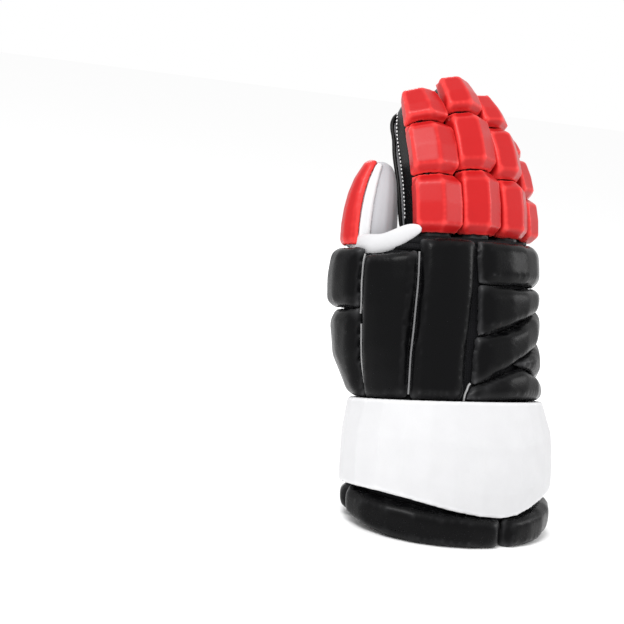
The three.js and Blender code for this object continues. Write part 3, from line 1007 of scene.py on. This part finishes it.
@dataclass
class PalmSide:
    """The palm leather with its seams, and the strip, the ridge and the pad of the cuff's heel."""

    points: int = 8
    piping_radius: float = 0.0016
    row_gap: float = 0.003
    seam_drop: float = 0.0014
    seam_radius: float = 0.0005
    strip_line: float = 0.0935
    strip_start: float = -0.0322
    strip_length: float = 0.1045
    strip_steps: int = 28
    strip_overhang: float = 0.005
    strip_height: float = 0.0078
    strip_width: float = 0.0031
    ridge: Table = ((0.004, 0.0725), (0.09, 0.064))
    ridge_steps: int = 22
    ridge_step: float = 0.0044
    ridge_sunk: float = 0.0012
    ridge_radius: float = 0.0036
    seam: Table = (
        (0.052, 0.157), (0.02, 0.1715), (-0.014, 0.19), (-0.026, 0.1965),
    )
    lens: Table = ((-0.015, 0.182), (-0.008, 0.158), (-0.001, 0.137))
    bow: Table = (
        (-0.008, 0.183), (-0.0005, 0.165), (0.0028, 0.15),
        (0.0018, 0.138), (-0.0035, 0.118), (-0.009, 0.106),
    )

    def laid(self, table: Table, ground: Ground, lift: float) -> list[Vector]:
        """Return a smooth line on the palm through a table of (x, z)."""
        line = []
        for first, last in zip(table, table[1:]):
            for step in range(self.points):
                across = first[0] + (last[0] - first[0]) * step / self.points
                height = first[1] + (last[1] - first[1]) * step / self.points
                hit = ground.seen_from(Vector((across, 0.0, height)), PALMWARD)
                if hit is not None:
                    line.append(hit + PALMWARD * lift)
        return evened(line, 6)

    def build(self) -> None:
        """Make the leather, its piping, its stitches and the heel."""
        nodes = frame["nodes"]
        palm = (nodes["palm_lower"], nodes["palm_upper"])
        sleeves = {finger: bpy.data.objects[f"{finger}_sleeve_soft"] for finger in FINGERS}
        strips = {finger: nodes[f"{finger}_palm_strip"] for finger in FINGERS}
        hand = Ground(*palm, bpy.data.objects["hand_shell_soft"])
        leather = PalmLeather(hand, palm, strips, sleeves)
        sheet = leather.build()
        lows = {"index": 0.214, "middle": 0.214, "ring": 0.203, "pinkie": 0.192}
        piping = [leather.rim(finger, out=0.0008, lift=-0.0002, low=lows[finger]) for finger in FINGERS]
        piping.append(leather.side_line("pinkie", side=1, low=0.172, high=0.196))
        piping.append(leather.side_line("index", side=0, low=0.196, high=0.216))
        finish_piece(tube("palm_piping", piping, self.piping_radius), "black_pad", Finish.PIPING)
        rows = [
            leather.rim(finger, out=0.0032, lift=-0.005, low=lows[finger] + 0.01) for finger in FINGERS
        ]
        Stitches("finger_stitches", rows, Ground(*sleeves.values()), radius=0.0005).build()
        on_palm = Ground(sheet)
        doubled = tuple((across, height - self.row_gap) for across, height in self.seam)
        second = tuple((across - self.row_gap, height) for across, height in self.bow[2:])
        lines = [self.laid(table, on_palm, 0.0) for table in (self.seam, doubled, self.bow, second)]
        Stitches("palm_stitches", lines, on_palm, pitch=0.0026, length=0.0017, radius=0.0003).build()
        cord = [self.laid(table, on_palm, 0.0001) for table in (self.lens, self.seam)]
        for line in cord:
            for point in line:
                point.z -= self.seam_drop
        finish_piece(tube("palm_seam", cord, self.seam_radius), "palm_leather", Finish.PALM)
        self.heel()

    def heel_binding(self, cuff: Ground) -> None:
        """Make the white strip over the heel's upper edge."""
        path = []
        for step in range(self.strip_steps + 1):
            across = self.strip_start + self.strip_length * step / self.strip_steps
            outer = cuff.seen_from(Vector((across, 0.0, self.strip_line)), PALMWARD)
            if outer is None:
                continue
            top = cuff.seen_from(Vector((across, outer.y - 0.0015, 0.0)), UPWARD)
            if top is not None:
                path.append(Vector((across, outer.y - 0.0012, top.z + 0.0016)))
        path = evened(path, 5)
        path.insert(0, path[0] + (path[0] - path[1]).normalized() * self.strip_overhang)
        count = len(path)
        ends = [min(1.0, 0.45 + 0.55 * min(k, count - 1 - k) / 1.5) for k in range(count)]
        heights = [self.strip_height * end for end in ends]
        widths = [self.strip_width * end for end in ends]
        binding = swept("heel_binding", path, heights, widths, 0.6)
        rounded(binding)
        finish_piece(binding, "white_trim", Finish.WHITE)

    def heel_ridge(self, cuff: Ground) -> None:
        """Make the padded ridge at the little finger's end of the heel."""
        edge = []
        for step in range(self.ridge_steps):
            height = self.ridge[0][0] + self.ridge_step * step
            hit = cuff.seen_from(Vector((along(self.ridge, height), 0.0, height)), PALMWARD)
            if hit is not None:
                edge.append(hit - cuff.nearest(hit)[1] * self.ridge_sunk)
        ridge = tube("heel_ridge", [evened(edge, 4)], self.ridge_radius)
        finish_piece(ridge, "black_pad", Finish.PIPING)

    def heel(self) -> None:
        """Make the strip over the heel's edge, the ridge at its end and the raised pad."""
        cuff = Ground(bpy.data.objects["heel_cuff_soft"])
        self.heel_binding(cuff)
        self.heel_ridge(cuff)
        RaisedPatch(
            "heel_pad",
            cuff,
            start=-0.029,
            end=0.066,
            low=((-0.029, 0.004), (0.066, 0.005)),
            high=((-0.029, 0.033), (0.0353, 0.0616), (0.066, 0.033)),
            height=0.004,
            slot="black_pad",
            finish=Finish.BLACK,
            edge=0.007,
        ).build()


@dataclass
class FingerRoots:
    """The black rolls behind the fingers' roots, and the white web beside the thumb."""

    radius: float = 0.0034
    rolls: Table = ((0.0045, -0.0005), (0.0062, 0.0045))
    roll_turn: float = 5.0
    roll_steps: tuple[int, int] = (35, 77)
    middle_x: float = -0.005
    middle_y: float = 0.002
    rim_height: float = 0.2095
    slope: float = -0.2126
    below: float = 0.006
    web_start: float = 42.0  # degrees, as the turns are
    web_turn: float = 4.0
    web_points: int = 12
    web_inward: float = 0.0015
    web_low: float = 0.0005
    web_rise: float = 0.013
    web_height: float = 0.0065
    web_fuller: float = 0.0015
    web_thickness: float = 0.0028

    def __post_init__(self) -> None:
        """Keep the hand's surface."""
        self.hand = Ground(bpy.data.objects["hand_shell_soft"])

    def rim(self, angle: float, inward: float, rise: float) -> Vector:
        """Return a point by the hand's upper rim.

        Args:
            angle: Degrees from the thumb side, positive towards the palm.
            inward: How far inside the hand's surface it is.
            rise: How far above the rim it is.

        Returns:
            The point.
        """
        turn = math.radians(angle)
        out = Vector((-math.cos(turn), math.sin(turn), 0.0))
        middle = Vector((self.middle_x, self.middle_y, 0.0))
        place = middle + out * 0.06
        for _ in range(4):
            place.z = self.rim_height + self.slope * place.y - self.below
            hit = self.hand.tree.ray_cast(Vector((*(middle + out * 0.2).xy, place.z)), -out)[0]
            if hit is None:
                break
            place = hit
        place = place - out * inward
        place.z = self.rim_height + self.slope * place.y + rise
        return place

    def build(self) -> None:
        """Make the rolls and the web."""
        lines = [
            [self.rim(step * self.roll_turn, inward, rise) for step in range(*self.roll_steps)]
            for inward, rise in self.rolls
        ]
        roll = tube("finger_root_roll", lines, self.radius)
        finish_piece(roll, "liner", Finish.LINER)
        path, heights, widths = [], [], []
        last = self.web_points - 1
        for step in range(self.web_points):
            rise = self.web_low + self.web_rise * ease(step, 6.5, 11.0)
            path.append(self.rim(self.web_start - self.web_turn * step, self.web_inward, rise))
            taper = math.sqrt(1 - (2 * step / last - 1) ** 6 * 0.85)
            heights.append(taper * (self.web_height + self.web_fuller * (1 - ease(step, 5.0, 10.0))))
            widths.append(taper * self.web_thickness)
        web = swept("thumb_web", path, heights, widths)
        rounded(web, 2)
        finish_piece(web, "white_trim", Finish.WHITE)


@dataclass
class PanelPiping:
    """Thin piping in the grooves between the pads of the back and the thumb's side, coloured pale grey
    as a painted highlight on black glossy piping.
    """

    radius: float = 0.0008
    narrow: float = 1.5
    steps: int = 20
    band: float = 0.0016
    grooves: tuple[tuple[str, str, float, float], ...] = (
        ("back_panel_main", "back_panel_thumb", 0.103, 0.206),
        ("back_panel_thumb", "thumb_roll_upper", 0.153, 0.197),
        ("back_panel_thumb", "thumb_roll_lower", 0.103, 0.146),
        ("lower_roll", "back_panel_main", 0.103, 0.116),
    )

    def line(self, first: str, second: str, low: float, high: float) -> list[Vector]:
        """Return a line up the mouth of the groove between two pads."""
        pad = bpy.data.objects[first + "_soft"]
        other = Ground(bpy.data.objects[second + "_soft"])
        places = []
        for step in range(self.steps + 1):
            height = low + (high - low) * step / self.steps
            best, score = None, -1.0
            for vert in pad.data.vertices:
                if abs(vert.co.z - height) > self.band:
                    continue
                across = other.nearest(vert.co)[0]
                halfway = (vert.co + across) / 2
                value = halfway.xy.length - self.narrow * (vert.co - across).length
                if value > score:
                    best, score = halfway, value
            if best is not None:
                places.append(Vector((best.x, best.y, height)))
        return evened(places, 4)

    def build(self) -> None:
        """Make the piping."""
        cords = tube("panel_piping", [self.line(*groove) for groove in self.grooves], self.radius)
        # The piping itself is black; its pale grey finish is a painted highlight.
        finish_piece(cords, "black_pad", Finish.CORD)


@dataclass
class Studio:
    """The pale floor, the soft lights and the camera."""

    azimuth: float = -40.0
    elevation: float = 8.0
    roll: float = 9.0
    lens: float = 110.0
    width_at_glove: float = 0.474
    aside: float = 0.117
    above: float = 0.007
    floor_size: float = 12.0
    floor_drop: float = 0.0004
    lit_height: float = 0.17

    def build(self) -> None:
        """Make the floor, lights, world and camera."""
        low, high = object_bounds()
        centre = (low + high) / 2
        bpy.ops.object.select_all(action="DESELECT")
        bpy.ops.mesh.primitive_plane_add(
            size=self.floor_size, location=(0.0, 0.0, low.z - self.floor_drop)
        )
        floor = bpy.context.active_object
        floor.name = "floor"
        graph = Graph("floor_paper")
        graph.set(Base_Color=(0.97, 0.97, 0.97, 1.0), Roughness=0.95, Specular_IOR_Level=0.0)
        floor.data.materials.append(graph.material)
        floor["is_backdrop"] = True
        world = bpy.context.scene.world or bpy.data.worlds.new("studio")
        bpy.context.scene.world = world
        world.use_nodes = True
        background = world.node_tree.nodes["Background"]
        background.inputs["Color"].default_value = (1.0, 1.0, 1.0, 1.0)
        background.inputs["Strength"].default_value = 1.0
        lamps = (
            ("key", (-0.9, -0.6, 1.4), 0.7, 18.0),
            ("side", (1.3, -0.5, 0.7), 0.5, 4.0),
            ("behind", (0.3, 1.3, 1.2), 0.7, 10.0),
        )
        for name, place, size, power in lamps:
            bpy.ops.object.light_add(type="AREA", location=place)
            lamp = bpy.context.active_object
            lamp.name = name + "_light"
            lamp.data.size = size
            lamp.data.energy = power
            beam = Vector((0.0, 0.0, self.lit_height)) - Vector(place)
            lamp.rotation_euler = beam.to_track_quat("-Z", "Y").to_euler()
        bpy.context.scene.view_settings.view_transform = "Standard"
        self.camera(centre)

    def camera(self, centre: Vector) -> None:
        """Place the camera at the photo's angle to the glove."""
        azimuth = math.radians(self.azimuth)
        elevation = math.radians(self.elevation)
        back = Vector(
            (
                math.sin(azimuth) * math.cos(elevation),
                -math.cos(azimuth) * math.cos(elevation),
                math.sin(elevation),
            )
        )
        away = self.width_at_glove * self.lens / FILM_WIDTH
        roll = Matrix.Rotation(math.radians(self.roll), 3, "Z")
        turn = (-back).to_track_quat("-Z", "Y").to_matrix() @ roll
        right = turn @ Vector((1.0, 0.0, 0.0))
        upward = turn @ Vector((0.0, 1.0, 0.0))
        place = centre + back * away
        target = centre - right * self.aside - upward * self.above
        aim = (target - place).to_track_quat("-Z", "Y").to_matrix()
        data = bpy.data.cameras.new("photo_view")
        data.lens = self.lens
        data.clip_end = 20.0
        camera = bpy.data.objects.new("photo_view", data)
        bpy.context.scene.collection.objects.link(camera)
        camera.location = place
        camera.rotation_euler = (aim @ roll).to_euler()
        bpy.context.scene.camera = camera


def main() -> None:
    """Build the studio, then each set of pieces."""
    Studio().build()
    red = tuple(f"{finger}_pad_{row}" for finger in FINGERS for row in ("base", "middle", "tip"))
    SoftPads(red, "red_pad", Finish.RED).build()
    SoftPads(("thumb_shell",), "red_pad", Finish.RED, smooth=3).build()
    black = (
        "back_panel_main", "back_panel_thumb", "knuckle_pad", "back_pad", "diagonal_roll",
        "side_wedge", "lower_roll", "thumb_roll_upper", "thumb_roll_lower",
        "pinkie_side_roll_1", "pinkie_side_roll_2", "pinkie_side_roll_3",
    )
    SoftPads(
        black, "black_pad", Finish.BLACK, voxel=0.0019, smooth=9, plump=0.0013, pressure=4.0, cap=0.0009
    ).build()
    rolls = ("cuff_lobe_thumb", "cuff_roll_main", "cuff_roll_pinkie", "heel_cuff")
    SoftPads(
        rolls, "black_pad", Finish.BLACK, voxel=0.0022, smooth=6, plump=0.0005, pressure=4.0, cap=0.0009
    ).build()
    SoftPads(("cuff_band",), "white_trim", Finish.WHITE, smooth=3).build()
    bindings = ("side_binding", "pinkie_binding", "thumb_binding_front", "thumb_binding_back")
    SoftPads(bindings, "white_trim", Finish.WHITE, voxel=0.0008, smooth=2).build()
    sleeves = tuple(f"{finger}_sleeve" for finger in FINGERS)
    SoftPads(sleeves, "liner", Finish.BLACK, voxel=0.001, smooth=8, plump=0.0003).build()
    ThinLayers(("hand_shell",), "liner", Finish.LINER, levels=1).build()
    ThinLayers(("thumb_sleeve",), "palm_leather", Finish.PALM).build()
    PalmSide().build()
    FingerRoots().build()
    PanelPiping().build()


if __name__ == "__main__":
    main()
